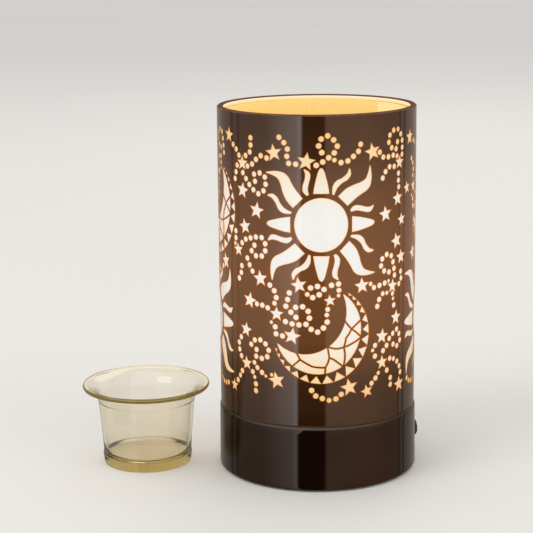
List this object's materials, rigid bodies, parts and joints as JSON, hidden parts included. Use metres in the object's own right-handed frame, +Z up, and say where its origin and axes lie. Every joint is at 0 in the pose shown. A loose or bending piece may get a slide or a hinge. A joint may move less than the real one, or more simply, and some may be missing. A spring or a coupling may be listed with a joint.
{
  "type": "wax melt warmer",
  "caption": "Touch lamp that melts scented wax: glossy drum base, pierced mirror-skinned glass shade with a lit celestial pattern, and a separate flared glass dish.",
  "frame": {"origin": "centre of the foot pad's underside, on the lamp's axis, at the table", "axes": "+Z up along the lamp's axis, front of the lamp towards -Y, the separate dish towards -X"},
  "size_m": [0.1696, 0.0988, 0.1811],
  "materials": {
    "gunmetal_plating": "glossy dark gunmetal plating on steel",
    "mirror_skin": "dark mirror coating on glass, pierced",
    "shade_glass": "clear polished glass",
    "diffuser_sheet": "cream translucent sheet",
    "dish_glass": "clear pressed glass, warm at the edges",
    "bulb_glass": "clear pressed glass with a reflective bowl",
    "ceramic": "unglazed white ceramic",
    "zinc_steel": "zinc-plated steel",
    "brass": "turned brass",
    "aluminium": "bent aluminium sheet",
    "black_rubber": "matt black rubber",
    "circuit_board": "green solder mask",
    "white_nylon": "moulded nylon",
    "black_plastic": "moulded epoxy",
    "yellow_film": "glossy moulded case",
    "copper_winding": "enamelled copper wire",
    "brown_sleeve": "heatproof sleeve",
    "blue_sleeve": "heatproof sleeve"
  },
  "bodies": {
    "base": {"base_drum": "gunmetal_plating", "cord_bush": "black_rubber", "bottom_cover": "zinc_steel", "foot_pad": "black_rubber", "cover_pillar_1": "brass", "cover_pillar_2": "brass", "cover_pillar_3": "brass", "cover_screw_1": "zinc_steel", "cover_screw_2": "zinc_steel", "cover_screw_3": "zinc_steel", "deck_plate": "zinc_steel", "deck_screw_1": "zinc_steel", "deck_screw_2": "zinc_steel", "deck_screw_3": "zinc_steel", "holder_bracket": "zinc_steel", "bracket_screw_1": "zinc_steel", "bracket_screw_2": "zinc_steel", "lamp_holder": "ceramic", "holder_screw_1": "zinc_steel", "holder_screw_2": "zinc_steel", "dish_ring": "zinc_steel", "stand_leg_1": "zinc_steel", "stand_leg_2": "zinc_steel", "stand_leg_3": "zinc_steel", "leg_nut_1": "zinc_steel", "leg_nut_2": "zinc_steel", "leg_nut_3": "zinc_steel", "board_post_1": "white_nylon", "board_post_2": "white_nylon", "board_post_3": "white_nylon", "board_post_4": "white_nylon", "dimmer_board": "circuit_board", "terminal_block": "white_nylon", "film_capacitor": "yellow_film", "choke": "copper_winding", "heat_sink": "aluminium", "triac": "black_plastic", "touch_chip": "black_plastic", "fuse": "bulb_glass", "lead_live": "brown_sleeve", "lead_neutral": "blue_sleeve", "touch_tab": "brass", "touch_lead": "black_rubber"},
    "shade": {"glass_shade": "shade_glass", "mirror_skin": "mirror_skin", "diffuser_liner": "diffuser_sheet"},
    "bulb": {"bulb_base": "ceramic", "bulb_reflector": "bulb_glass", "bulb_lens": "bulb_glass", "bulb_capsule": "bulb_glass", "bulb_pin_front": "zinc_steel", "bulb_pin_back": "zinc_steel"},
    "dish": {"glass_dish": "dish_glass"}
  },
  "joints": [
    {"name": "shade_lift", "type": "slide", "parent": "base", "child": "shade", "axis": [0, 0, 1], "range_m": [0, 0.13]},
    {"name": "bulb_twist", "type": "hinge", "parent": "base", "child": "bulb", "pos_m": [0, 0, 0.0608], "axis": [0, 0, 1], "range_deg": [0, 30]},
    {"name": "dish_lift", "type": "slide", "parent": "base", "child": "dish", "axis": [0, 0, 1], "range_m": [0, 0.19]}
  ]
}
